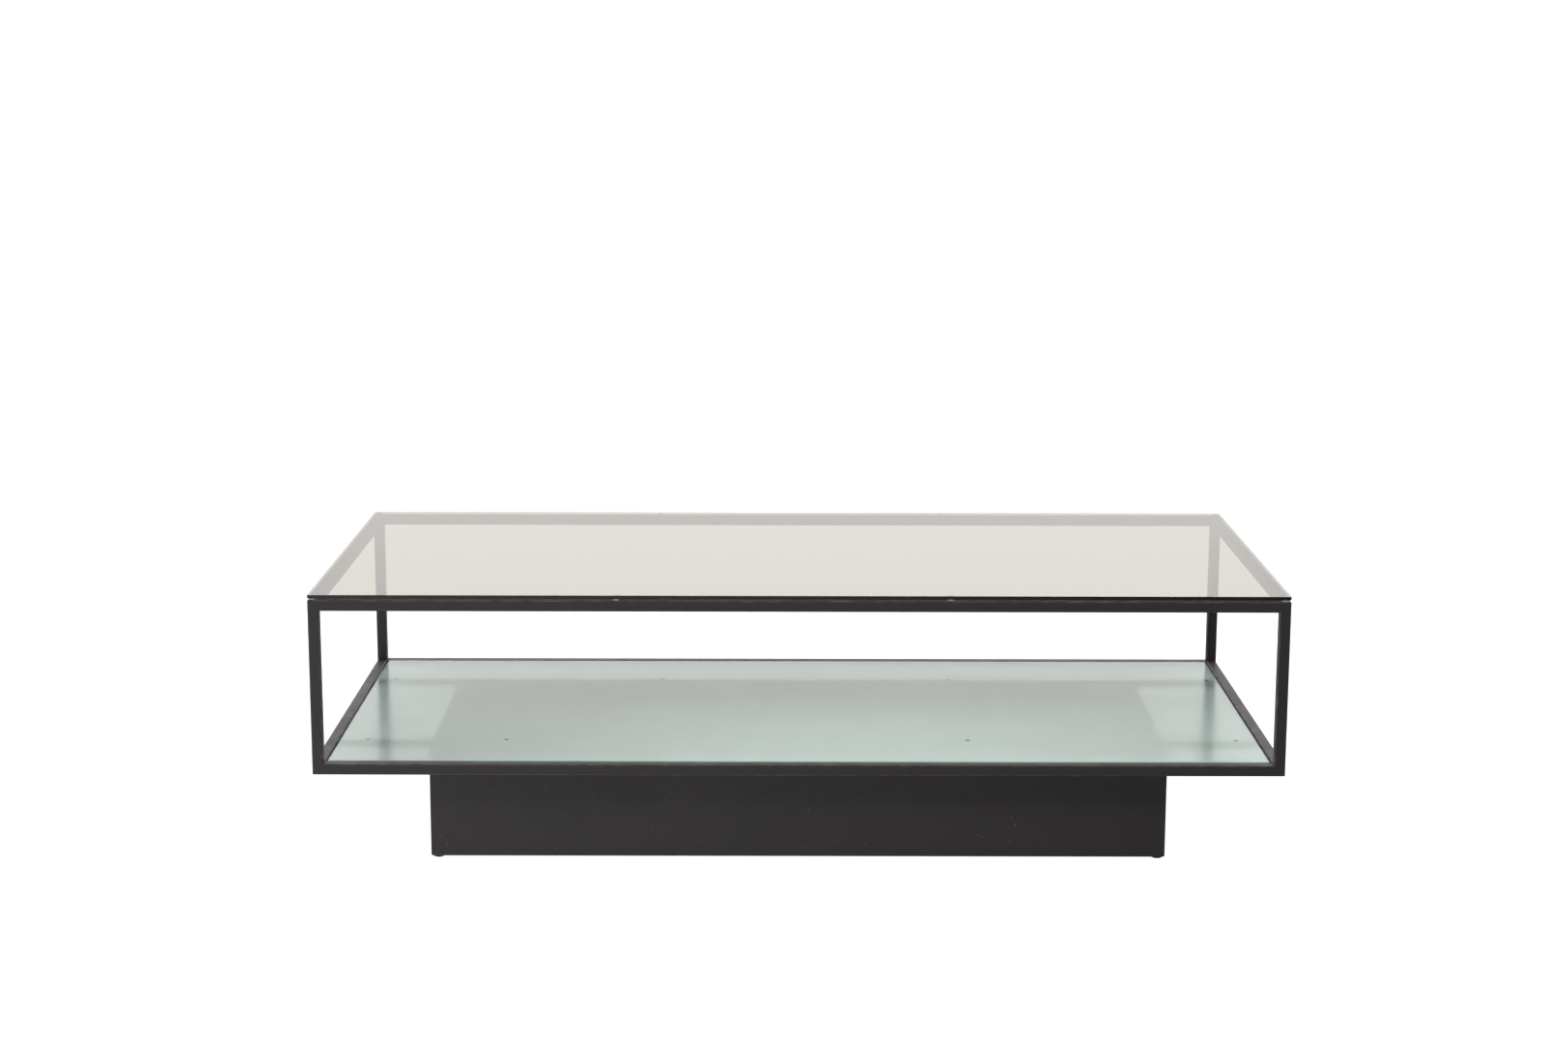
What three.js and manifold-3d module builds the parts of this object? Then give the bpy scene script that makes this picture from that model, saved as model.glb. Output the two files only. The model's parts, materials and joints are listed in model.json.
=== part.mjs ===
// Floating frame coffee table.
//
// An open box frame of square steel tube, with three-way mitred corners welded and ground flush,
// stands on a recessed sheet-steel plinth, so that it seems to float. A glass top lies loose on
// clear bumpers on the top rails. A frosted glass shelf lies loose inside the bottom rails, on
// pads on two flat bars, and its upper face is flush with the rails.
//
// Millimetres, +Z up. The origin is on the floor under the middle of the table. +X runs along the
// table to the right, and its front faces -Y.

import * as THREE from "three";
import { mergeVertices } from "three/addons/utils/BufferGeometryUtils.js";
import Module from "manifold-3d";

const wasm = await Module();
wasm.setup();

// ---------------------------------------------------------------- driving dimensions

const TABLE_LENGTH = 1300;
const TABLE_DEPTH = 600;
const TABLE_HEIGHT = 400;

const FRAME_HEIGHT = 239;
const TUBE_SIZE = 15;
const TUBE_WALL = 1.5;
const TUBE_CORNER_RADIUS = 2;

const TOP_GLASS_THICKNESS = 5;
const SHELF_GLASS_THICKNESS = 6;
const SHELF_GLASS_CLEARANCE = 3;
const GLASS_CORNER_RADIUS = 3;
const GLASS_ARRIS = 0.6;

const BUMPER_HEIGHT = 2;
const BUMPER_RADIUS = 5.5;
const SHELF_PAD_RADIUS = 4;

const BAR_WIDTH = 20;
const BAR_THICKNESS = 6;
const BAR_SPACING = 340;

const PLINTH_LENGTH = 1020;
const PLINTH_DEPTH = 360;
const SHEET_THICKNESS = 2;
const SHEET_BEND_RADIUS = 3;
const PLINTH_CORNER_RADIUS = 2;
const PLINTH_FLANGE = 22;

const FOOT_HEIGHT = 2.5;
const FOOT_RADIUS = 8;
const FOOT_INSET = 10;

// M6 countersunk socket screws hold the bars down on the plinth, with nuts under its top plate.
const SCREW_SPACING = 900;
const SCREW_RADIUS = 2.85;
const SCREW_LENGTH = 14;
const SCREW_HEAD_RADIUS = 5.8;
const SCREW_HEAD_RIM = 0.3;
const SCREW_SOCKET_WIDTH = 4;
const SCREW_SOCKET_DEPTH = 2.2;
const SCREW_HOLE_RADIUS = 3.3;
const SCREW_HEAD_CLEARANCE = 0.2;
const NUT_WIDTH = 10;
const NUT_HEIGHT = 5;
const NUT_BORE_RADIUS = 3;

// The bumpers and pads are stuck on by hand, so the ones between the corners are a little uneven.
const TOP_BUMPER_X = {
  front: [-242, 200],
  back: [-208, 220],
};
const SHELF_PAD_X = {
  front: [-595, -404, 234, 605],
  back: [-605, -203, 228, 616],
};

const ARC_SEGMENTS = 4;
const ROUND_SEGMENTS = 24;

// ---------------------------------------------------------------- sizes that follow from these

const TUBE_BORE = TUBE_SIZE - 2 * TUBE_WALL;
const BAR_LENGTH = TABLE_LENGTH - 2 * TUBE_SIZE;
const SHELF_GLASS_MARGIN = TUBE_SIZE + SHELF_GLASS_CLEARANCE;
const BAR_ROWS = [
  ["front", -BAR_SPACING / 2],
  ["back", BAR_SPACING / 2],
];

// ---------------------------------------------------------------- levels, from the floor up

const PLINTH_BOTTOM = FOOT_HEIGHT;
const TOP_PANE_BOTTOM = TABLE_HEIGHT - TOP_GLASS_THICKNESS;
const FRAME_TOP = TOP_PANE_BOTTOM - BUMPER_HEIGHT;
const FRAME_BOTTOM = FRAME_TOP - FRAME_HEIGHT;
const PLINTH_PLATE_BOTTOM = FRAME_BOTTOM - SHEET_THICKNESS;
const PANEL_HEIGHT = PLINTH_PLATE_BOTTOM - PLINTH_BOTTOM;
const BAR_TOP = FRAME_BOTTOM + BAR_THICKNESS;
const SHELF_PANE_BOTTOM = FRAME_BOTTOM + TUBE_SIZE - SHELF_GLASS_THICKNESS;
const SHELF_PAD_HEIGHT = SHELF_PANE_BOTTOM - BAR_TOP;

// ---------------------------------------------------------------- materials

function material(color, roughness, metalness, opacity = 1) {
  return new THREE.MeshStandardMaterial({
    color,
    roughness,
    metalness,
    opacity,
    transparent: opacity < 1,
  });
}

const blackPowderCoat = () => material(0x2c2a2c, 0.5, 0.1);
const smokedGlass = () => material(0x6f6a64, 0.05, 0, 0.35);
const frostedGlass = () => material(0xb9cfc4, 0.3, 0, 0.6);
const clearSilicone = () => material(0xd8dbd9, 0.25, 0, 0.5);
const blackRubber = () => material(0x1c1c1d, 0.8, 0);
const zincPlatedSteel = () => material(0xa9adb2, 0.35, 0.9);

// ---------------------------------------------------------------- cutting solids

function solidFrom(geometry) {
  const bare = geometry.clone();
  bare.deleteAttribute("normal");
  bare.deleteAttribute("uv");
  const merged = mergeVertices(bare, 1e-4);
  return new wasm.Manifold(
    new wasm.Mesh({
      numProp: 3,
      vertProperties: merged.getAttribute("position").array,
      triVerts: new Uint32Array(merged.index.array),
    }),
  );
}

function geometryFrom(solid) {
  const { vertProperties, triVerts } = solid.getMesh();
  const indexed = new THREE.BufferGeometry();
  indexed.setAttribute("position", new THREE.BufferAttribute(vertProperties, 3));
  indexed.setIndex(new THREE.BufferAttribute(triVerts, 1));
  const flat = indexed.toNonIndexed();
  flat.computeVertexNormals();
  return flat;
}

// Cuts both ends of a solid that runs along X, on 45 degree planes. Each plane leaves the end by
// as much as the distance along the inward direction, so pieces that share a corner just meet.
function mitreEnds(solid, length, inward) {
  const [inwardY, inwardZ] = inward;
  return solid
    .trimByPlane([1, -inwardY, -inwardZ], -length / 2 / Math.SQRT2)
    .trimByPlane([-1, -inwardY, -inwardZ], -length / 2 / Math.SQRT2);
}

// ---------------------------------------------------------------- outlines

function pointOnCircle(centreX, centreY, radius, angle) {
  return new THREE.Vector2(centreX + radius * Math.cos(angle), centreY + radius * Math.sin(angle));
}

function arcPoints(centreX, centreY, radius, startAngle, endAngle) {
  const points = [];
  for (let step = 0; step <= ARC_SEGMENTS; step += 1) {
    const angle = startAngle + ((endAngle - startAngle) * step) / ARC_SEGMENTS;
    points.push(pointOnCircle(centreX, centreY, radius, angle));
  }
  return points;
}

function rectangle(left, bottom, width, height) {
  return [
    new THREE.Vector2(left, bottom),
    new THREE.Vector2(left + width, bottom),
    new THREE.Vector2(left + width, bottom + height),
    new THREE.Vector2(left, bottom + height),
  ];
}

function roundedRectangle(left, bottom, width, height, radius) {
  const nearX = left + radius;
  const farX = left + width - radius;
  const nearY = bottom + radius;
  const farY = bottom + height - radius;
  return [
    ...arcPoints(farX, nearY, radius, -Math.PI / 2, 0),
    ...arcPoints(farX, farY, radius, 0, Math.PI / 2),
    ...arcPoints(nearX, farY, radius, Math.PI / 2, Math.PI),
    ...arcPoints(nearX, nearY, radius, Math.PI, 1.5 * Math.PI),
  ];
}

// A regular polygon, or a circle when it has ROUND_SEGMENTS sides.
function polygon(x, y, radius, sideCount) {
  const points = [];
  for (let step = 0; step < sideCount; step += 1) {
    points.push(pointOnCircle(x, y, radius, (2 * Math.PI * step) / sideCount));
  }
  return points;
}

function circleHole(x, y, radius) {
  return new THREE.Path(polygon(x, y, radius, ROUND_SEGMENTS));
}

function hexagon(widthAcrossFlats) {
  return polygon(0, 0, widthAcrossFlats / Math.sqrt(3), 6);
}

// Extrudes an outline in the (Y, Z) plane along X, centred on X = 0.
function extrudeAlongX(shape, length) {
  const geometry = new THREE.ExtrudeGeometry(shape, { depth: length, bevelEnabled: false });
  geometry.translate(0, 0, -length / 2);
  geometry.applyMatrix4(
    new THREE.Matrix4().makeBasis(
      new THREE.Vector3(0, 1, 0),
      new THREE.Vector3(0, 0, 1),
      new THREE.Vector3(1, 0, 0),
    ),
  );
  return geometry;
}

function extrudeUp(shape, height) {
  return new THREE.ExtrudeGeometry(shape, { depth: height, bevelEnabled: false });
}

// Turns a profile of [radius, height] points about the Z axis.
function turned(profile) {
  const points = profile.map(([radius, height]) => new THREE.Vector2(radius, height));
  return new THREE.LatheGeometry(points, ROUND_SEGMENTS).rotateX(Math.PI / 2);
}

// ---------------------------------------------------------------- shapes of the sub-parts

// A square tube along X. Y and Z count inwards from its two outer faces, and its ends are cut
// three ways, so that three such tubes fill the corner of a box between them.
function cornerTube(length) {
  const outline = new THREE.Shape(roundedRectangle(0, 0, TUBE_SIZE, TUBE_SIZE, TUBE_CORNER_RADIUS));
  outline.holes.push(new THREE.Path(rectangle(TUBE_WALL, TUBE_WALL, TUBE_BORE, TUBE_BORE)));
  const tube = solidFrom(extrudeAlongX(outline, length));
  const sideMitred = mitreEnds(tube, length, [1, 0]);
  return geometryFrom(mitreEnds(sideMitred, length, [0, 1]));
}

// A plinth side along X: a wall with its lower edge folded in, mitred to its neighbours. Y counts
// inwards from the wall's outer face, towards the far side at the given depth.
function plinthPanel(length, depth) {
  const bend = SHEET_BEND_RADIUS;
  const innerBend = bend - SHEET_THICKNESS;
  const outline = new THREE.Shape([
    ...arcPoints(bend, bend, bend, -Math.PI, -Math.PI / 2),
    new THREE.Vector2(PLINTH_FLANGE, 0),
    new THREE.Vector2(PLINTH_FLANGE, SHEET_THICKNESS),
    ...arcPoints(bend, bend, innerBend, -Math.PI / 2, -Math.PI),
    new THREE.Vector2(SHEET_THICKNESS, PANEL_HEIGHT),
    new THREE.Vector2(0, PANEL_HEIGHT),
  ]);
  const panel = mitreEnds(solidFrom(extrudeAlongX(outline, length)), length, [1, 0]);
  const footprint = roundedRectangle(-length / 2, 0, length, depth, PLINTH_CORNER_RADIUS);
  const roundedBlock = solidFrom(extrudeUp(new THREE.Shape(footprint), PANEL_HEIGHT));
  return geometryFrom(panel.intersect(roundedBlock));
}

function plinthPlate() {
  const [left, front] = [-PLINTH_LENGTH / 2, -PLINTH_DEPTH / 2];
  const outline = new THREE.Shape(
    roundedRectangle(left, front, PLINTH_LENGTH, PLINTH_DEPTH, PLINTH_CORNER_RADIUS),
  );
  for (const corner of corners(SCREW_SPACING, BAR_SPACING)) {
    outline.holes.push(circleHole(corner.x, corner.y, SCREW_HOLE_RADIUS));
  }
  return extrudeUp(outline, SHEET_THICKNESS);
}

// The profile of a countersunk screw that points down, with its flat head at Z = 0. The growth
// widens it all round, which gives the hole that it sits in.
function countersunkProfile(shankRadius, length, growth) {
  const headRadius = SCREW_HEAD_RADIUS + growth;
  return [
    [0, -length],
    [shankRadius, -length],
    [shankRadius, -SCREW_HEAD_RIM - (headRadius - shankRadius)],
    [headRadius, -SCREW_HEAD_RIM],
    [headRadius, 0],
    [0, 0],
  ];
}

// A flat bar along X with a countersunk hole for each of its two screws.
function supportBar() {
  const outline = new THREE.Shape(rectangle(-BAR_LENGTH / 2, -BAR_WIDTH / 2, BAR_LENGTH, BAR_WIDTH));
  const hole = solidFrom(
    turned(countersunkProfile(SCREW_HOLE_RADIUS, 2 * BAR_THICKNESS, SCREW_HEAD_CLEARANCE)),
  );
  let bar = solidFrom(extrudeUp(outline, BAR_THICKNESS));
  for (const x of [-SCREW_SPACING / 2, SCREW_SPACING / 2]) {
    bar = bar.subtract(hole.translate(x, 0, BAR_THICKNESS));
  }
  return geometryFrom(bar);
}

// A pane with rounded corners and a narrow polished arris on every edge.
function glassPane(length, depth, thickness) {
  const outline = new THREE.Shape(
    roundedRectangle(-length / 2, -depth / 2, length, depth, GLASS_CORNER_RADIUS),
  );
  const geometry = new THREE.ExtrudeGeometry(outline, {
    depth: thickness - 2 * GLASS_ARRIS,
    bevelThickness: GLASS_ARRIS,
    bevelSize: GLASS_ARRIS,
    bevelOffset: -GLASS_ARRIS,
    bevelSegments: 1,
  });
  return geometry.translate(0, 0, GLASS_ARRIS);
}

function bumper() {
  return turned([
    [0, 0],
    [BUMPER_RADIUS, 0],
    [BUMPER_RADIUS, BUMPER_HEIGHT * 0.35],
    [BUMPER_RADIUS * 0.93, BUMPER_HEIGHT * 0.75],
    [BUMPER_RADIUS * 0.78, BUMPER_HEIGHT],
    [0, BUMPER_HEIGHT],
  ]);
}

function shelfPad() {
  return turned([
    [0, 0],
    [SHELF_PAD_RADIUS, 0],
    [SHELF_PAD_RADIUS, SHELF_PAD_HEIGHT * 0.8],
    [SHELF_PAD_RADIUS * 0.85, SHELF_PAD_HEIGHT],
    [0, SHELF_PAD_HEIGHT],
  ]);
}

function footPad() {
  return turned([
    [0, 0],
    [FOOT_RADIUS * 0.7, 0],
    [FOOT_RADIUS * 0.9, FOOT_HEIGHT * 0.3],
    [FOOT_RADIUS, FOOT_HEIGHT * 0.7],
    [FOOT_RADIUS, FOOT_HEIGHT],
    [0, FOOT_HEIGHT],
  ]);
}

function countersunkScrew() {
  const screw = solidFrom(turned(countersunkProfile(SCREW_RADIUS, SCREW_LENGTH, 0)));
  const socket = extrudeUp(new THREE.Shape(hexagon(SCREW_SOCKET_WIDTH)), 2 * SCREW_SOCKET_DEPTH);
  return geometryFrom(screw.subtract(solidFrom(socket.translate(0, 0, -SCREW_SOCKET_DEPTH))));
}

function hexNut() {
  const outline = new THREE.Shape(hexagon(NUT_WIDTH));
  outline.holes.push(circleHole(0, 0, NUT_BORE_RADIUS));
  return extrudeUp(outline, NUT_HEIGHT);
}

// ---------------------------------------------------------------- placing the sub-parts

const table = new THREE.Group();

function place(parent, name, geometry, surface, position) {
  const mesh = new THREE.Mesh(geometry, surface);
  mesh.name = name;
  mesh.position.set(...position);
  parent.add(mesh);
  return mesh;
}

// The four corners of a rectangle centred on the origin.
function corners(length, depth) {
  return [
    { name: "front_left", x: -length / 2, y: -depth / 2 },
    { name: "front_right", x: length / 2, y: -depth / 2 },
    { name: "back_left", x: -length / 2, y: depth / 2 },
    { name: "back_right", x: length / 2, y: depth / 2 },
  ];
}

// A group turned so that its -Y side is the named side of the table.
function sideGroup(quarterTurns) {
  const group = new THREE.Group();
  group.rotation.z = (quarterTurns * Math.PI) / 2;
  table.add(group);
  return group;
}

// The four sides in turn: each one's length, the distance from the middle to its outer face, and
// the corner at its left end as seen from outside.
function sides(length, depth) {
  return [
    { name: "front", quarterTurns: 0, length, reach: depth / 2, leftCorner: "front_left" },
    { name: "right", quarterTurns: 1, length: depth, reach: length / 2, leftCorner: "front_right" },
    { name: "back", quarterTurns: 2, length, reach: depth / 2, leftCorner: "back_right" },
    { name: "left", quarterTurns: 3, length: depth, reach: length / 2, leftCorner: "back_left" },
  ];
}

function addRails() {
  for (const side of sides(TABLE_LENGTH, TABLE_DEPTH)) {
    const group = sideGroup(side.quarterTurns);
    const tube = cornerTube(side.length);
    const bottom = [0, -side.reach, FRAME_BOTTOM];
    place(group, `bottom_rail_${side.name}`, tube, blackPowderCoat(), bottom);
    const top = [0, -side.reach, FRAME_TOP];
    const topRail = place(group, `top_rail_${side.name}`, tube, blackPowderCoat(), top);
    topRail.rotation.y = Math.PI;
  }
}

function addUprights() {
  const standing = new THREE.Matrix4().makeBasis(
    new THREE.Vector3(0, 0, 1),
    new THREE.Vector3(1, 0, 0),
    new THREE.Vector3(0, 1, 0),
  );
  for (const side of sides(TABLE_LENGTH, TABLE_DEPTH)) {
    const position = [-side.length / 2, -side.reach, FRAME_BOTTOM + FRAME_HEIGHT / 2];
    const group = sideGroup(side.quarterTurns);
    const tube = cornerTube(FRAME_HEIGHT);
    const upright = place(group, `upright_${side.leftCorner}`, tube, blackPowderCoat(), position);
    upright.setRotationFromMatrix(standing);
  }
}

function addSupportBars() {
  for (const [row, y] of BAR_ROWS) {
    place(table, `shelf_support_bar_${row}`, supportBar(), blackPowderCoat(), [0, y, FRAME_BOTTOM]);
  }
}

function addPlinth() {
  place(table, "plinth_top_plate", plinthPlate(), blackPowderCoat(), [0, 0, PLINTH_PLATE_BOTTOM]);
  for (const side of sides(PLINTH_LENGTH, PLINTH_DEPTH)) {
    const group = sideGroup(side.quarterTurns);
    const panel = plinthPanel(side.length, 2 * side.reach);
    const position = [0, -side.reach, PLINTH_BOTTOM];
    place(group, `plinth_${side.name}_panel`, panel, blackPowderCoat(), position);
  }
}

function addFeet() {
  const [length, depth] = [PLINTH_LENGTH - 2 * FOOT_INSET, PLINTH_DEPTH - 2 * FOOT_INSET];
  for (const corner of corners(length, depth)) {
    place(table, `foot_pad_${corner.name}`, footPad(), blackRubber(), [corner.x, corner.y, 0]);
  }
}

function addPlinthScrews() {
  const nutBottom = PLINTH_PLATE_BOTTOM - NUT_HEIGHT;
  for (const { name, x, y } of corners(SCREW_SPACING, BAR_SPACING)) {
    place(table, `plinth_screw_${name}`, countersunkScrew(), zincPlatedSteel(), [x, y, BAR_TOP]);
    place(table, `plinth_nut_${name}`, hexNut(), zincPlatedSteel(), [x, y, nutBottom]);
  }
}

function addShelf() {
  const length = TABLE_LENGTH - 2 * SHELF_GLASS_MARGIN;
  const depth = TABLE_DEPTH - 2 * SHELF_GLASS_MARGIN;
  const pane = glassPane(length, depth, SHELF_GLASS_THICKNESS);
  place(table, "shelf_glass_pane", pane, frostedGlass(), [0, 0, SHELF_PANE_BOTTOM]);
  for (const [row, y] of BAR_ROWS) {
    SHELF_PAD_X[row].forEach((x, index) => {
      place(table, `shelf_pad_${row}_${index + 1}`, shelfPad(), blackRubber(), [x, y, BAR_TOP]);
    });
  }
}

function addTop() {
  const pane = glassPane(TABLE_LENGTH, TABLE_DEPTH, TOP_GLASS_THICKNESS);
  place(table, "top_glass_pane", pane, smokedGlass(), [0, 0, TOP_PANE_BOTTOM]);
  const cornerX = (TABLE_LENGTH - TUBE_SIZE) / 2;
  const railY = (TABLE_DEPTH - TUBE_SIZE) / 2;
  for (const [row, y] of [["front", -railY], ["back", railY]]) {
    [-cornerX, ...TOP_BUMPER_X[row], cornerX].forEach((x, index) => {
      place(table, `top_bumper_${row}_${index + 1}`, bumper(), clearSilicone(), [x, y, FRAME_TOP]);
    });
  }
}

addFeet();
addPlinth();
addPlinthScrews();
addRails();
addUprights();
addSupportBars();
addShelf();
addTop();

export default table;
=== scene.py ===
import json
import math

import bmesh
import bpy
from mathutils import Matrix, Vector

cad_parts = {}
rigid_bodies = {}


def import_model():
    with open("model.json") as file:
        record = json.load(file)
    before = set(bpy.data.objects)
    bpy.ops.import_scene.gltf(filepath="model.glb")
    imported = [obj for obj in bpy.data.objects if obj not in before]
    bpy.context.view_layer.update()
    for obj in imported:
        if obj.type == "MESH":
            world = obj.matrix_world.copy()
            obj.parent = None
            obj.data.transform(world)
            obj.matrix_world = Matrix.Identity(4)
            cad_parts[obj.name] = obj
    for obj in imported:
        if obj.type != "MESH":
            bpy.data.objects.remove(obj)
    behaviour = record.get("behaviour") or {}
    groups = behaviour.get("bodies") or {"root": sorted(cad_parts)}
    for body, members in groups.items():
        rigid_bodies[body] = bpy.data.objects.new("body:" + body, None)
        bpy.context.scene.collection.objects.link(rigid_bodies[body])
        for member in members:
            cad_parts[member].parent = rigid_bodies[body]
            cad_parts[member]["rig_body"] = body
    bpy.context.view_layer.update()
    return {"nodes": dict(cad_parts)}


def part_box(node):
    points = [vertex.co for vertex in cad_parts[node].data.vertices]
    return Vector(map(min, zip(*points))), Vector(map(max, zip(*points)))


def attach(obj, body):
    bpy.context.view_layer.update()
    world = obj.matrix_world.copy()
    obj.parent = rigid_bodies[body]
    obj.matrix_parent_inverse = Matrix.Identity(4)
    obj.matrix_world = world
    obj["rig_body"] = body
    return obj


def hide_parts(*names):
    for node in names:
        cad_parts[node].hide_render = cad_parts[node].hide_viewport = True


# The looks of a floating frame coffee table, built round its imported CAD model. Metres, +Z up.
# Each CAD node gives its place and size to a finer piece, which is shown instead of it.

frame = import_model()

MM = 0.001
ARC_STEPS = 8
ROUND_STEPS = 48
HEXAGON = 6

# How worn the paint is at each point of an arc: most half way round it, and not where it ends.
ARC_WEAR = [math.sin(math.pi * i / ARC_STEPS) for i in range(ARC_STEPS + 1)]

# Faces that meet at more than this angle meet in a sharp edge.
SHARP_ANGLE = math.radians(31)

TUBE_WALL = 1.5 * MM
TUBE_CORNER = 2 * MM
BORE_CORNER = 0.5 * MM
WELD_REACH = 6 * MM

SHEET_THICKNESS = 2 * MM
SHEET_BEND = 3 * MM
SHEET_EDGE = 0.35 * MM
PLINTH_CORNER = 2 * MM
# Closer than this to the centre of a plinth corner, the sheets are mitred without a bend.
LEAST_RADIUS = 0.1 * MM

BAR_CORNER = 0.9 * MM
# The radius of a weld bead ripples about a share of BEAD_RADIUS, and its ends are thinner.
BEAD_RADIUS = 1.4 * MM
BEAD_STEP = 0.8 * MM
BEAD_SIDES = 12
BEAD_SHARE, BEAD_RIPPLE, BEAD_RIPPLE_TURN = 0.9, 0.12, 1.9
BEAD_END_SHARE = 0.3

GLASS_CORNER = 3 * MM
GLASS_ARRIS = 0.6 * MM

# How far the shelf's pads reach into the glass, so that no gap shows between them.
CLING = 0.02 * MM

SHANK_RADIUS = 2.85 * MM
SCREW_HOLE = 3.3 * MM
HEAD_CLEARANCE = 0.2 * MM
HEAD_RIM = 0.3 * MM
SOCKET_WIDTH = 4 * MM
SOCKET_DEPTH = 2.2 * MM
THREAD_PITCH = 1 * MM
THREAD_DEPTH = 0.35 * MM
THREAD_STEPS = 6
SCREW_SIDES = 24
TIP_LENGTH = 0.6 * MM
TIP_TAPER = 0.5 * MM
NUT_BORE = 3 * MM
NUT_CHAMFER = math.tan(math.radians(30))

# The shelf's frosting: how clear and how milky it is outside the painted highlight and at its
# centre, how much its milk varies, and where the painted highlight is and how far it reaches. The
# highlight is
# painted: over the middle of the shelf the frosting is made whiter and less clear, standing in for
# light.
CLEAR_SHARE, PAINTED_HIGHLIGHT_CLEAR_SHARE = 0.32, 0.08
MILK, PAINTED_HIGHLIGHT_MILK = 0.46, 0.95
MOTTLE = 0.025
PAINTED_HIGHLIGHT = (0.11, -0.25, 0.16)
PAINTED_HIGHLIGHT_REACH = (1, 0.5, 1)

SIDES = ("front", "right", "back", "left")
CORNERS = ("front_left", "front_right", "back_left", "back_right")
ROWS = ("front", "back")


# ---------------------------------------------------------------- outlines


def arc(centre, radius, start, end, steps=ARC_STEPS):
    """Points on a circle from one angle to another, both included. Angles are in degrees."""
    angles = [math.radians(start + (end - start) * i / steps) for i in range(steps + 1)]
    return [(centre[0] + radius * math.cos(a), centre[1] + radius * math.sin(a)) for a in angles]


def circle(radius, steps=ROUND_STEPS):
    return arc((0, 0), radius, 0, 360, steps)[:-1]


def rounded_rectangle(low, high, radius, inset=0.0):
    """An outline with rounded corners, optionally moved inwards all round."""
    x0, y0 = low[0] + radius, low[1] + radius
    x1, y1 = high[0] - radius, high[1] - radius
    left = radius - inset
    return [
        *arc((x1, y0), left, -90, 0),
        *arc((x1, y1), left, 0, 90),
        *arc((x0, y1), left, 90, 180),
        *arc((x0, y0), left, 180, 270),
    ]


# ---------------------------------------------------------------- solids


class Solid:
    """A closed mesh in the making. Each vertex says how worn, welded and frosted it is."""

    def __init__(self):
        self.bm = bmesh.new()
        self.marks = {m: self.bm.verts.layers.float.new(m) for m in ("worn", "weld", "frost")}

    def ring(self, points, **marks):
        """New vertices. Each mark is one number for all of them, or a list of one for each."""
        verts = [self.bm.verts.new(p) for p in points]
        for mark, value in marks.items():
            for i, vert in enumerate(verts):
                vert[self.marks[mark]] = value[i] if isinstance(value, list) else value
        return verts

    def skin(self, rings, looped=False):
        """Joins each ring to the next, and caps the ends unless the last ring joins the first."""
        for one, other in zip(rings, rings[1:] + rings[:1] if looped else rings[1:]):
            for i in range(len(one)):
                j = (i + 1) % len(one)
                self.bm.faces.new((one[i], one[j], other[j], other[i]))
        if not looped:
            self.bm.faces.new(rings[0])
            self.bm.faces.new(rings[-1])

    def mesh(self):
        bmesh.ops.remove_doubles(self.bm, verts=self.bm.verts, dist=1e-4 * MM)
        bmesh.ops.recalc_face_normals(self.bm, faces=self.bm.faces)
        made = bpy.data.meshes.new("solid")
        self.bm.to_mesh(made)
        self.bm.free()
        return made


def turned(centre, profile, steps=ROUND_STEPS):
    """A solid turned about an upright axis, from (radius, height) points. Its ends are flat."""
    solid = Solid()
    rings = []
    for radius, height in profile:
        rings.append(solid.ring(centre + Vector((x, y, height)) for x, y in circle(radius, steps)))
    solid.skin(rings)
    return solid.mesh()


def slab(low, high, radius, edge, edge_steps, frosted=False):
    """A flat plate with rounded corners. Its edges are chamfered, or rounded with more steps."""
    solid = Solid()
    fall = arc((edge, edge), edge, 270, 180, edge_steps)
    levels = [(inset, low.z + rise) for inset, rise in fall]
    levels += [(inset, high.z - rise) for inset, rise in reversed(fall)]
    rings = []
    for index, (inset, z) in enumerate(levels):
        outline = rounded_rectangle(low, high, radius, inset)
        on_bend = 0 < index < len(levels) - 1
        marks = {"worn": float(on_bend), "frost": float(frosted and index == 0)}
        rings.append(solid.ring([(x, y, z) for x, y in outline], **marks))
    solid.skin(rings)
    return solid.mesh()


def new_object(name, data):
    made = bpy.data.objects.new(name, data)
    bpy.context.scene.collection.objects.link(made)
    return made


def combined(mesh, other, operation):
    """The difference or intersection of two meshes, which are both used up."""
    body, tool = (new_object("operand", m) for m in (mesh, other))
    boolean = body.modifiers.new("boolean", "BOOLEAN")
    boolean.object, boolean.operation, boolean.solver = tool, operation, "EXACT"
    evaluated = body.evaluated_get(bpy.context.evaluated_depsgraph_get())
    made = bpy.data.meshes.new_from_object(evaluated)
    for operand in (body, tool):
        bpy.data.objects.remove(operand)
    return made


def gathered(meshes):
    """Several closed meshes in one."""
    bm = bmesh.new()
    for mesh in meshes:
        bm.from_mesh(mesh)
    made = bpy.data.meshes.new("solid")
    bm.to_mesh(made)
    bm.free()
    return made


# ---------------------------------------------------------------- the shapes of the pieces


def inward_frame(node, middle):
    """Coordinates for a long straight node: along it from its centre, then inwards from its two
    outer faces, the ones away from the middle. Returns the placing function, the node's length
    and the width of its section."""
    low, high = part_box(node)
    axis = max(range(3), key=lambda i: high[i] - low[i])
    across = [i for i in range(3) if i != axis]
    centre = (low + high) / 2

    def place(along, first, second):
        point = Vector()
        point[axis] = centre[axis] + along
        for i, depth in zip(across, (first, second)):
            point[i] = low[i] + depth if centre[i] < middle[i] else high[i] - depth
        return point

    return place, high[axis] - low[axis], high[across[0]] - low[across[0]]


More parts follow.
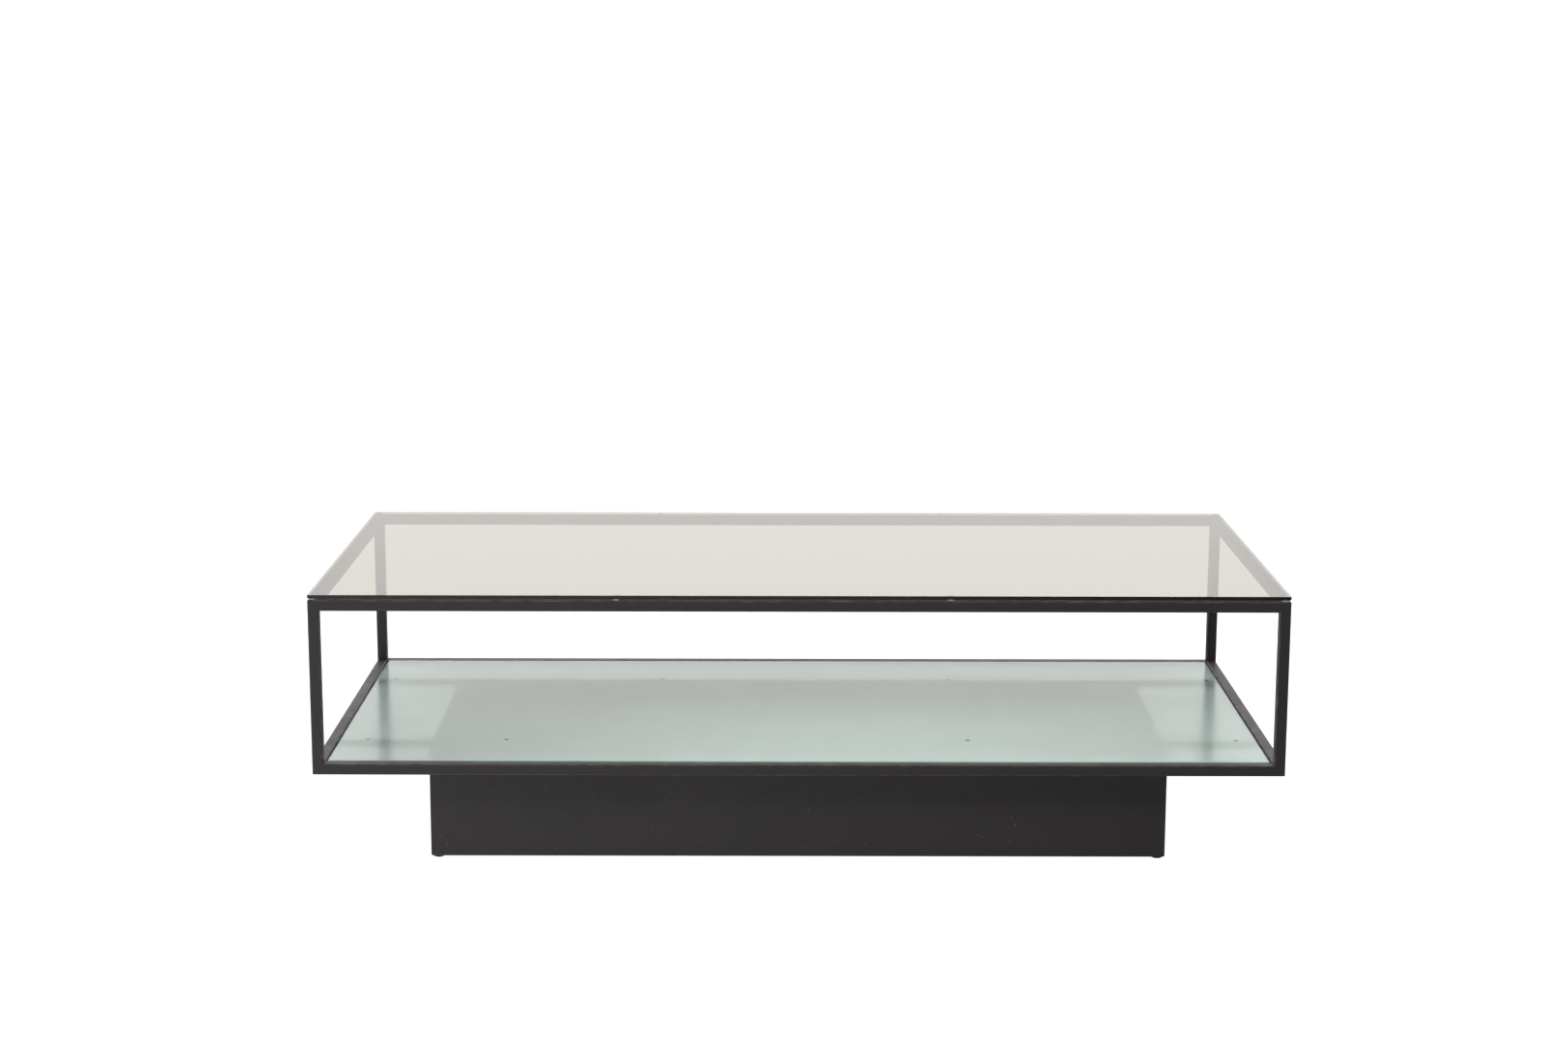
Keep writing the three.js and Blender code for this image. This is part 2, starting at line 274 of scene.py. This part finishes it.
def corner_tube(node, middle):
    """A square tube whose ends are mitred three ways, to meet two others at a box's corner."""
    place, length, size = inward_frame(node, middle)
    solid = Solid()
    outside = rounded_rectangle((0, 0), (size, size), TUBE_CORNER)
    bore_end = size - TUBE_WALL
    bore = rounded_rectangle((TUBE_WALL, TUBE_WALL), (bore_end, bore_end), BORE_CORNER)
    outermost = min(max(p) for p in outside)

    def section(outline, side, back, **marks):
        reach = length / 2 + outermost - back
        points = [place(side * (reach - max(p)), *p) for p in outline]
        return solid.ring(points, **marks)

    rings = []
    backs = (0, WELD_REACH / 3, WELD_REACH)
    for side, order in ((-1, backs), (1, backs[::-1])):
        for back in order:
            weld = 1 - back / WELD_REACH
            rings.append(section(outside, side, back, worn=4 * ARC_WEAR, weld=weld))
    rings += [section(bore, 1, 0), section(bore, -1, 0)]
    solid.skin(rings, looped=True)
    return solid.mesh()


def plinth_panel(node):
    """A sheet wall with its lower edge folded in, and half of each rounded corner at its ends."""
    above = Vector((0, 0, 1))
    place, length, flange = inward_frame(node, above)
    low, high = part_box(node)
    height = high.z - low.z
    bend = (SHEET_BEND, SHEET_BEND)
    outer = arc(bend, SHEET_BEND, 180, 270)
    inner = arc(bend, SHEET_BEND - SHEET_THICKNESS, 270, 180)
    lip = (flange - SHEET_EDGE, SHEET_EDGE)
    lip_top = (flange - SHEET_EDGE, SHEET_THICKNESS - SHEET_EDGE)
    profile = [(0, height), *outer]
    profile += arc(lip, SHEET_EDGE, 270, 360, 3) + arc(lip_top, SHEET_EDGE, 0, 90, 3)
    profile += [*inner, (SHEET_THICKNESS, height)]
    fold_wear = [0, *ARC_WEAR]
    fold_wear += [0] * (len(profile) - len(fold_wear))
    # The node ends where the mitre cuts the rounded corner, a little short of the corner's side.
    end = length / 2 + PLINTH_CORNER * (1 - math.cos(math.radians(45)))

    def station(side, turn):
        """The profile at one end. Its turn runs from 0, on the straight, to 1, on the mitre."""
        angle = math.radians(90 - 45 * turn)
        points = []
        for depth, rise in profile:
            radius = PLINTH_CORNER - depth
            if radius > LEAST_RADIUS:
                along = end - PLINTH_CORNER + radius * math.cos(angle)
                depth = PLINTH_CORNER - radius * math.sin(angle)
            else:
                along = end - depth - PLINTH_CORNER * (1 - turn)
            points.append(place(side * along, depth, rise))
        wear = [max(w, turn * (i <= ARC_STEPS + 1)) for i, w in enumerate(fold_wear)]
        return solid.ring(points, worn=wear, weld=turn)

    solid = Solid()
    turns = [i / (ARC_STEPS // 2) for i in range(ARC_STEPS // 2 + 1)]
    rings = [station(-1, t) for t in reversed(turns)] + [station(1, t) for t in turns]
    solid.skin(rings)
    return solid.mesh()


def screw_head_hole(top, head_radius, length):
    """What a countersunk hole takes away, from its mouth down."""
    head = head_radius + HEAD_CLEARANCE
    cone = top.z - HEAD_RIM - (head - SCREW_HOLE)
    profile = [
        (SCREW_HOLE, top.z - length),
        (SCREW_HOLE, cone),
        (head, top.z - HEAD_RIM),
        (head, top.z + MM),
    ]
    return turned(Vector((top.x, top.y, 0)), profile)


def plinth_plate(node, screw_tops):
    low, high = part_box(node)
    plate = slab(low, high, PLINTH_CORNER, SHEET_EDGE, 3)
    for top in screw_tops:
        axis = Vector((top.x, top.y, 0))
        drill = turned(axis, [(SCREW_HOLE, low.z - MM), (SCREW_HOLE, high.z + MM)])
        plate = combined(plate, drill, "DIFFERENCE")
    return plate


def weld_bead(x, low, high):
    """A rippled bead over a bar's end: up one side, across the top and down the other side."""
    solid = Solid()
    path = [Vector((x, y, z)) for y, z in weld_path(low, high)]
    rings = []
    for i, point in enumerate(path):
        ahead = path[min(i + 1, len(path) - 1)] - path[max(i - 1, 0)]
        out = Vector((1, 0, 0)).cross(ahead).normalized()
        radius = BEAD_RADIUS * (BEAD_SHARE + BEAD_RIPPLE * math.sin(i * BEAD_RIPPLE_TURN))
        if i in (0, len(path) - 1):
            radius *= BEAD_END_SHARE
        points = [
            point + Vector((1, 0, 0)) * (u * radius) + out * (v * radius)
            for u, v in circle(1, BEAD_SIDES)
        ]
        rings.append(solid.ring(points, weld=1.0))
    solid.skin(rings)
    return solid.mesh()


def weld_path(low, high):
    """Points in small steps up one side of a bar's end, over its top and down its other side."""
    corners = [(low.y, low.z + BEAD_RADIUS), (low.y, high.z), (high.y, high.z)]
    corners.append((high.y, low.z + BEAD_RADIUS))
    path = []
    for (y0, z0), (y1, z1) in zip(corners, corners[1:]):
        steps = max(2, round(math.hypot(y1 - y0, z1 - z0) / BEAD_STEP))
        path += [(y0 + (y1 - y0) * i / steps, z0 + (z1 - z0) * i / steps) for i in range(steps)]
    return path + corners[-1:]


def support_bar(node, screw_tops, head_radius):
    """A flat bar with eased edges, countersunk for its screws and welded in at both ends."""
    low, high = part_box(node)
    solid = Solid()
    section = rounded_rectangle((low.y, low.z), (high.y, high.z), BAR_CORNER)
    ends = [[(x, y, z) for y, z in section] for x in (low.x, high.x)]
    solid.skin([solid.ring(end, worn=4 * ARC_WEAR) for end in ends])
    bar = solid.mesh()
    for top in screw_tops:
        if low.y < top.y < high.y:
            hole = screw_head_hole(top, head_radius, 2 * (high.z - low.z))
            bar = combined(bar, hole, "DIFFERENCE")
    return gathered([bar, weld_bead(low.x, low, high), weld_bead(high.x, low, high)])


def glass_pane(node, frosted=False):
    low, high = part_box(node)
    return slab(low, high, GLASS_CORNER, GLASS_ARRIS, 2, frosted)


def base_and_size(node):
    """The middle of an upright round node's lower face, its radius and its height."""
    low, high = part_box(node)
    base = Vector(((low.x + high.x) / 2, (low.y + high.y) / 2, low.z))
    return base, (high.x - low.x) / 2, high.z - low.z


def bumper(node):
    """A low clear dome with a flat crown and a thin adhesive foot."""
    base, radius, height = base_and_size(node)
    foot = 0.12 * height
    crown = 0.4 * radius
    profile = [(0.97 * radius, 0), (0.97 * radius, foot), (radius, foot)]
    for across, up in arc((0, 0), 1, 12, 90, 10):
        profile.append((crown + (radius - crown) * across, foot + (height - foot) * up))
    return turned(base, profile)


def shelf_pad(node):
    """A short rubber stud with a rounded rim and a thin adhesive foot. It clings to the glass."""
    base, radius, height = base_and_size(node)
    height += CLING
    foot = 0.2 * MM
    rim = 0.6 * MM
    profile = [(0.94 * radius, 0), (0.94 * radius, foot), (radius, foot)]
    profile += arc((radius - rim, height - rim), rim, 0, 90)
    profile.append((0.4 * radius, height))
    return turned(base, profile)


def foot_pad(node):
    """A rubber foot that narrows downwards, with a groove round its upper edge."""
    base, radius, height = base_and_size(node)
    groove = 0.25 * MM
    sole = 0.7 * radius
    profile = [(0.3 * radius, 0)]
    profile += [
        (sole + (radius - sole) * across, 0.75 * height * (1 + up))
        for across, up in arc((0, 0), 1, -90, 0)
    ]
    profile += [(radius - groove, 0.8 * height), (radius - groove, 0.9 * height)]
    profile += [(radius, 0.92 * height), (radius, height)]
    return turned(base, profile)


def countersunk_screw(node):
    """A flat-headed screw, with a hexagon socket and a rolled thread."""
    base, head, length = base_and_size(node)
    solid = Solid()
    rim = 0.1 * MM
    cone_end = length - HEAD_RIM - (head - SHANK_RADIUS)
    levels = [(head - rim, length), (head, length - rim), (head, length - HEAD_RIM)]
    levels.append((SHANK_RADIUS, cone_end))
    rings = [
        solid.ring([base + Vector((x, y, z)) for x, y in circle(radius, SCREW_SIDES)], worn=1.0)
        for radius, z in levels
    ]
    steps = round(cone_end / THREAD_PITCH * THREAD_STEPS)
    for step in range(1, steps + 1):
        z = cone_end * (1 - step / steps)
        depth = THREAD_DEPTH * min(1, step / THREAD_STEPS)
        taper = TIP_TAPER * max(0, 1 - z / TIP_LENGTH)
        points = []
        for i, (x, y) in enumerate(circle(1, SCREW_SIDES)):
            phase = (z / THREAD_PITCH + i / SCREW_SIDES) % 1
            radius = SHANK_RADIUS - taper - depth * abs(2 * phase - 1)
            points.append(base + Vector((x * radius, y * radius, z)))
        rings.append(solid.ring(points))
    solid.skin(rings)
    top = base + Vector((0, 0, length))
    corner = SOCKET_WIDTH / math.sqrt(3)
    socket = turned(top, [(corner, -SOCKET_DEPTH), (corner, MM)], HEXAGON)
    return combined(solid.mesh(), socket, "DIFFERENCE")


def hex_nut(node):
    """A hexagon nut with both faces chamfered and its bore countersunk."""
    base, corner_radius, height = base_and_size(node)
    hexagon = turned(base, [(corner_radius, 0), (corner_radius, height)], HEXAGON)
    face, reach = 0.82 * corner_radius, 1.1 * corner_radius
    fall = (reach - face) * NUT_CHAMFER
    cones = [(face, 0), (reach, fall), (reach, height - fall), (face, height)]
    nut = combined(hexagon, turned(base, cones), "INTERSECT")
    mouth = 0.4 * MM
    bore = [
        (NUT_BORE + 2 * mouth, -mouth),
        (NUT_BORE, mouth),
        (NUT_BORE, height - mouth),
        (NUT_BORE + 2 * mouth, height + mouth),
    ]
    return combined(nut, turned(base, bore), "DIFFERENCE")


# ---------------------------------------------------------------- materials


def add(tree, kind, inputs=None, **settings):
    """A new node. An input that is given a socket is linked to it, and any other is set."""
    node = tree.nodes.new("ShaderNode" + kind)
    for name, value in settings.items():
        setattr(node, name, value)
    for name, value in (inputs or {}).items():
        if isinstance(value, bpy.types.NodeSocket):
            tree.links.new(value, node.inputs[name])
        else:
            node.inputs[name].default_value = value
    return node


def new_tree(name):
    material = bpy.data.materials.new(name)
    material.use_nodes = True
    material.node_tree.nodes.clear()
    return material, material.node_tree


def noise(tree, scale, detail=2.0, stretch=(1, 1, 1)):
    """Noise in the table's own coordinates. Its scale is in grains to the metre."""
    where = add(tree, "TexCoord").outputs["Object"]
    if stretch != (1, 1, 1):
        where = add(tree, "Mapping", {"Vector": where, "Scale": stretch}).outputs["Vector"]
    return add(
        tree, "TexNoise", {"Vector": where, "Scale": scale, "Detail": detail}
    ).outputs["Fac"]


def patch(tree, centre, reach):
    """1 at a place on the table, falling smoothly to 0 at a distance that differs by axis."""
    where = add(tree, "TexCoord").outputs["Object"]
    scale = [1 / r for r in reach]
    moved = [-c * s for c, s in zip(centre, scale)]
    where = add(tree, "Mapping", {"Vector": where, "Location": moved, "Scale": scale})
    far = add(tree, "VectorMath", {0: where.outputs["Vector"]}, operation="LENGTH")
    return add(
        tree, "MapRange", {"Value": far.outputs["Value"], "To Min": 1.0, "To Max": 0.0},
        interpolation_type="SMOOTHERSTEP",
    ).outputs["Result"]


def span(tree, value, low, high, to_low, to_high):
    """Maps a value between two levels to a value between two others, and stops there."""
    limits = {"From Min": low, "From Max": high, "To Min": to_low, "To Max": to_high}
    return add(tree, "MapRange", {"Value": value, **limits}).outputs["Result"]


def varied(tree, grain, low, high):
    """Spreads noise, which stays mostly between 0.3 and 0.7, over a range of values."""
    return span(tree, grain, 0.3, 0.7, low, high)


def maths(tree, operation, one, other):
    return add(tree, "Math", {0: one, 1: other}, operation=operation).outputs[0]


def times(tree, one, other):
    return maths(tree, "MULTIPLY", one, other)


def blend_colours(tree, share, one, other):
    mix = add(tree, "Mix", {0: share}, data_type="RGBA")
    for index, value in ((6, one), (7, other)):
        if isinstance(value, bpy.types.NodeSocket):
            tree.links.new(value, mix.inputs[index])
        else:
            mix.inputs[index].default_value = (*value, 1)
    return mix.outputs[2]


def blend_values(tree, share, one, other):
    return add(tree, "Mix", {0: share, 2: one, 3: other}, data_type="FLOAT").outputs[0]


def mark(tree, name):
    return add(tree, "Attribute", attribute_name=name).outputs["Fac"]


def bumps(tree, *heights):
    """Stacks bump maps, given as pairs of a height and its size in metres."""
    normal = None
    for height, size in heights:
        inputs = {"Height": height, "Distance": size}
        if normal is not None:
            inputs["Normal"] = normal
        normal = add(tree, "Bump", inputs).outputs["Normal"]
    return normal


def principled(tree, inputs, volume=None):
    surface = add(tree, "BsdfPrincipled", inputs)
    output = add(tree, "OutputMaterial", {"Surface": surface.outputs[0]})
    if volume is not None:
        tree.links.new(volume, output.inputs["Volume"])


def powder_coat(name, base, dusty=False):
    """Satin black powder coat: fine orange peel, thinner and shinier on the edges."""
    material, tree = new_tree(name)
    broad = noise(tree, 9, 3)
    grain = noise(tree, 1400)
    peel = noise(tree, 420, 1)
    rub = span(tree, noise(tree, 60, 4), 0.45, 0.7, 0.15, 0.9)
    wear = times(tree, mark(tree, "worn"), rub)
    colour = blend_colours(tree, broad, base, [1.5 * c for c in base])
    colour = blend_colours(tree, wear, colour, (0.075, 0.07, 0.07))
    if dusty:
        flecks = span(tree, noise(tree, 330, 1), 0.78, 0.82, 0, 0.5)
        colour = blend_colours(tree, flecks, colour, (0.34, 0.33, 0.31))
    satin = varied(tree, noise(tree, 35, 3), 0.42, 0.52)
    roughness = times(tree, satin, span(tree, wear, 0, 1, 1, 0.6))
    ripple = times(tree, noise(tree, 500, 3), mark(tree, "weld"))
    normal = bumps(tree, (grain, 0.02 * MM), (peel, 0.05 * MM), (ripple, 0.25 * MM))
    principled(tree, {
        "Base Color": colour,
        "Roughness": roughness,
        "Normal": normal,
        "IOR": 1.5,
    })
    return material


def tinted_glass(name, absorbed, polish, frosting):
    """Glass with a roughness for its polished faces and one for its frosted face, which is also
    milky, and is painted whiter and less clear round one place as a painted highlight. Its tint
    comes from its depth: the absorption of red, green and blue to the metre."""
    material, tree = new_tree(name)
    frost = mark(tree, "frost")
    smear = varied(tree, noise(tree, 14, 4, (1, 2.2, 1)), 0.8 * polish, polish)
    pits = varied(tree, noise(tree, 900, 2), 0.85 * frosting, frosting)
    etched = times(tree, noise(tree, 1500, 1), frost)
    # A painted highlight: round this place the frosted face is whiter and less clear, standing in
    # for light.
    painted_highlight = patch(tree, PAINTED_HIGHLIGHT, PAINTED_HIGHLIGHT_REACH)
    grain = varied(tree, noise(tree, 260, 3, (0.35, 1, 1)), -MOTTLE, MOTTLE)
    white = span(tree, painted_highlight, 0, 1, MILK, PAINTED_HIGHLIGHT_MILK)
    milk_and_highlight = maths(tree, "ADD", white, grain)
    clear = span(tree, painted_highlight, 0, 1, CLEAR_SHARE, PAINTED_HIGHLIGHT_CLEAR_SHARE)
    density = 1.2 * max(absorbed)
    passed = [1 - a / density for a in absorbed]
    volume = add(tree, "VolumeAbsorption", {"Color": (*passed, 1), "Density": density})
    principled(tree, {
        "Base Color": blend_colours(tree, frost, (0.95, 0.95, 0.95), milk_and_highlight),
        "Roughness": blend_values(tree, frost, smear, pits),
        "IOR": 1.52,
        "Transmission Weight": blend_values(tree, frost, 1.0, clear),
        "Normal": bumps(tree, (etched, 0.015 * MM)),
    }, volume.outputs[0])
    return material


def clear_silicone(name):
    material, tree = new_tree(name)
    cloud = noise(tree, 700, 3)
    roughness = varied(tree, cloud, 0.12, 0.28)
    colour = blend_colours(tree, cloud, (0.86, 0.87, 0.86), (0.95, 0.96, 0.95))
    principled(tree, {
        "Base Color": colour,
        "Roughness": roughness,
        "IOR": 1.41,
        "Transmission Weight": 0.6,
        "Normal": bumps(tree, (noise(tree, 900), 0.02 * MM)),
    })
    return material


def black_rubber(name):
    material, tree = new_tree(name)
    broad = noise(tree, 200, 3)
    colour = blend_colours(tree, broad, (0.006, 0.006, 0.007), (0.014, 0.014, 0.015))
    dust = span(tree, noise(tree, 1200, 2), 0.6, 0.72, 0, 0.06)
    colour = blend_colours(tree, dust, colour, (0.12, 0.115, 0.11))
    principled(tree, {
        "Base Color": colour,
        "Roughness": varied(tree, broad, 0.65, 0.85),
        "Specular IOR Level": 0.1,
        "Normal": bumps(tree, (noise(tree, 2600, 3), 0.04 * MM)),
    })
    return material


def zinc_plate(name):
    material, tree = new_tree(name)
    cloud = noise(tree, 350, 4)
    colour = blend_colours(tree, cloud, (0.40, 0.43, 0.47), (0.62, 0.64, 0.66))
    colour = blend_colours(tree, times(tree, mark(tree, "worn"), cloud), colour, (0.75, 0.75, 0.73))
    principled(tree, {
        "Base Color": colour,
        "Metallic": 1.0,
        "Roughness": varied(tree, cloud, 0.24, 0.42),
        "Normal": bumps(tree, (noise(tree, 1800, 3, (1, 1, 6)), 0.02 * MM)),
    })
    return material


# ---------------------------------------------------------------- assembling the table


def show(mesh, node, part, material):
    """Shows a mesh in place of a CAD node, on the body that the node is on."""
    mesh.name = f"{node}_{part}"
    piece = new_object(mesh.name, mesh)
    mesh.materials.clear()
    mesh.materials.append(material)
    mesh.shade_smooth()
    mesh.set_sharp_from_angle(angle=SHARP_ANGLE)
    normals = piece.modifiers.new("flat_faces_stay_flat", "WEIGHTED_NORMAL")
    normals.keep_sharp = True
    normals.weight = 100
    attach(piece, frame["nodes"][node]["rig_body"])
    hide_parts(node)


frame_coat = powder_coat("black_powder_coat", (0.0106, 0.0093, 0.0104))
# The plinth has the frame's black paint, painted lighter here as painted light for the light the
# plinth gets; its flecks are dust.
plinth_coat = powder_coat("black_powder_coat_dusty_painted_lighter", (0.0152, 0.0134, 0.0149), dusty=True)
smoked = tinted_glass("smoked_glass", (128, 134, 154), 0.01, 0.01)
frosted = tinted_glass("frosted_glass", (21, 6, 8), 0.2, 0.15)
silicone = clear_silicone("clear_silicone")
rubber = black_rubber("black_rubber")
zinc = zinc_plate("zinc_plated_steel")

frame_low, frame_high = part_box("upright_front_left")
frame_middle = Vector((0, 0, (frame_low.z + frame_high.z) / 2))
tubes = [f"{level}_rail_{side}" for level in ("top", "bottom") for side in SIDES]
tubes += [f"upright_{corner}" for corner in CORNERS]
for tube in tubes:
    show(corner_tube(tube, frame_middle), tube, "tube", frame_coat)

screw_tops = []
for corner in CORNERS:
    base, screw_head_radius, length = base_and_size(f"plinth_screw_{corner}")
    screw_tops.append(base + Vector((0, 0, length)))

for side in SIDES:
    node = f"plinth_{side}_panel"
    show(plinth_panel(node), node, "sheet", plinth_coat)
plate = plinth_plate("plinth_top_plate", screw_tops)
show(plate, "plinth_top_plate", "sheet", plinth_coat)
for row in ROWS:
    node = f"shelf_support_bar_{row}"
    bar = support_bar(node, screw_tops, screw_head_radius)
    show(bar, node, "flat", frame_coat)

show(glass_pane("top_glass_pane"), "top_glass_pane", "glass", smoked)
pane = glass_pane("shelf_glass_pane", frosted=True)
show(pane, "shelf_glass_pane", "glass", frosted)

for row in ROWS:
    for number in range(1, 5):
        node = f"top_bumper_{row}_{number}"
        show(bumper(node), node, "dome", silicone)
        node = f"shelf_pad_{row}_{number}"
        show(shelf_pad(node), node, "stud", rubber)
for corner in CORNERS:
    node = f"foot_pad_{corner}"
    show(foot_pad(node), node, "foot", rubber)
    node = f"plinth_screw_{corner}"
    show(countersunk_screw(node), node, "thread", zinc)
    node = f"plinth_nut_{corner}"
    show(hex_nut(node), node, "hexagon", zinc)


# ---------------------------------------------------------------- floor, light and camera

LENS = 61.305
SENSOR_WIDTH = 36
CAMERA_PLACE = Vector((-0.0218, -3.7405, 1.1563))
CAMERA_PITCH = math.radians(10.82)
CAMERA_YAW = math.radians(0.022)
CAMERA_ROLL = math.radians(-0.118)

FLOOR_RADIUS = 40
FLOOR_GLOW = 0.98
BOUNCE_LEFT, BOUNCE_RIGHT = (0.80, 0.775, 0.81), (0.18, 0.165, 0.16)
BOUNCE_REACH = 0.8

FRONT_LEFT_LEVEL, FRONT_RIGHT_LEVEL = 1.3, 0.25
BACKDROP_LEVEL = 1.4
CEILING_GAIN = 9
LAMP_LEVEL = 11
SEEN_WHITE = 1.05
WARM_WHITE = (1, 0.975, 0.95, 1)


def seen(tree):
    """1 for what the eye meets, also through glass, and 0 for light on its way to the table."""
    path = add(tree, "LightPath").outputs
    turns = maths(tree, "ADD", path["Diffuse Depth"], path["Glossy Depth"])
    straight = maths(tree, "LESS_THAN", turns, 0.5)
    through = times(tree, path["Is Transmission Ray"], straight)
    return maths(tree, "MAXIMUM", path["Is Camera Ray"], through)


def make_floor():
    """A white floor, which throws more light back on the table's left than on its right."""
    bm = bmesh.new()
    bm.faces.new([bm.verts.new((x, y, 0)) for x, y in circle(FLOOR_RADIUS)])
    mesh = bpy.data.meshes.new("floor")
    bm.to_mesh(mesh)
    bm.free()
    floor = new_object("floor", mesh)
    material, tree = new_tree("pale_floor")
    tint = blend_colours(tree, noise(tree, 0.8, 2), (0.13, 0.13, 0.13), (0.16, 0.16, 0.16))
    white = add(tree, "BsdfDiffuse", {"Color": tint})
    glow = add(tree, "Emission", {"Strength": FLOOR_GLOW})
    shown = add(tree, "AddShader", {0: white.outputs[0], 1: glow.outputs[0]})
    across = add(tree, "SeparateXYZ", {0: add(tree, "TexCoord").outputs["Object"]}).outputs["X"]
    side = span(tree, across, -BOUNCE_REACH, BOUNCE_REACH, 0, 1)
    bounced = add(tree, "Emission", {"Color": blend_colours(tree, side, BOUNCE_LEFT, BOUNCE_RIGHT)})
    grey = add(tree, "BsdfDiffuse", {"Color": (0.05, 0.05, 0.05, 1)})
    thrown = add(tree, "AddShader", {0: grey.outputs[0], 1: bounced.outputs[0]})
    shades = {0: seen(tree), 1: thrown.outputs[0], 2: shown.outputs[0]}
    surface = add(tree, "MixShader", shades)
    add(tree, "OutputMaterial", {"Surface": surface.outputs[0]})
    mesh.materials.append(material)


def make_surroundings():
    """A white studio with a backdrop that fades upwards and a front that is dimmer on the right.
    A lamp in front and a bright ceiling light the table, and sharp reflections leave them out.
    Each range below is of the direction's X, Y or Z, which run from -1 to 1."""
    world = bpy.data.worlds.new("studio")
    bpy.context.scene.world = world
    world.use_nodes = True
    tree = world.node_tree
    tree.nodes.clear()
    direction = add(tree, "TexCoord").outputs["Generated"]
    x, y, z = add(tree, "SeparateXYZ", {0: direction}).outputs
    front = span(tree, x, -0.9, 0.1, FRONT_LEFT_LEVEL, FRONT_RIGHT_LEVEL)
    walls = blend_values(tree, span(tree, y, -0.5, 0.1, 0, 1), front, BACKDROP_LEVEL)
    walls = times(tree, walls, span(tree, z, 0.21, 0.25, 1, 0.82))
    lamp = times(tree, span(tree, z, 0.48, 0.50, 0, 1), span(tree, z, 0.53, 0.55, 1, 0))
    lamp = times(tree, lamp, span(tree, y, -0.6, -0.5, LAMP_LEVEL, 0))
    lit = times(tree, walls, span(tree, z, 0.8, 0.95, 1, CEILING_GAIN))
    lit = maths(tree, "ADD", lit, lamp)
    path = add(tree, "LightPath").outputs
    direct = maths(tree, "LESS_THAN", path["Diffuse Depth"], 0.5)
    mirrored = times(tree, direct, path["Is Glossy Ray"])
    light = blend_values(tree, mirrored, lit, walls)
    background = add(tree, "Background", {"Color": WARM_WHITE, "Strength": light})
    white = add(tree, "Background", {"Color": (1, 1, 1, 1), "Strength": SEEN_WHITE})
    shades = {0: seen(tree), 1: background.outputs[0], 2: white.outputs[0]}
    shown = add(tree, "MixShader", shades)
    add(tree, "OutputWorld", {"Surface": shown.outputs[0]})


def make_camera():
    """The photograph's camera, as it was fitted to the corners of the table's frame."""
    data = bpy.data.cameras.new("camera")
    data.sensor_width = SENSOR_WIDTH
    data.lens = LENS
    data.clip_end = 200
    camera = new_object("camera", data)
    forward = Vector((
        math.sin(CAMERA_YAW) * math.cos(CAMERA_PITCH),
        math.cos(CAMERA_YAW) * math.cos(CAMERA_PITCH),
        -math.sin(CAMERA_PITCH),
    ))
    level = Vector((math.cos(CAMERA_YAW), -math.sin(CAMERA_YAW), 0))
    down = forward.cross(level)
    right = level * math.cos(CAMERA_ROLL) + down * math.sin(CAMERA_ROLL)
    up = level * math.sin(CAMERA_ROLL) - down * math.cos(CAMERA_ROLL)
    turn = Matrix((right, up, -forward)).transposed()
    camera.matrix_world = Matrix.Translation(CAMERA_PLACE) @ turn.to_4x4()
    bpy.context.scene.camera = camera


make_floor()
make_surroundings()
make_camera()
bpy.context.scene.view_settings.view_transform = "Standard"
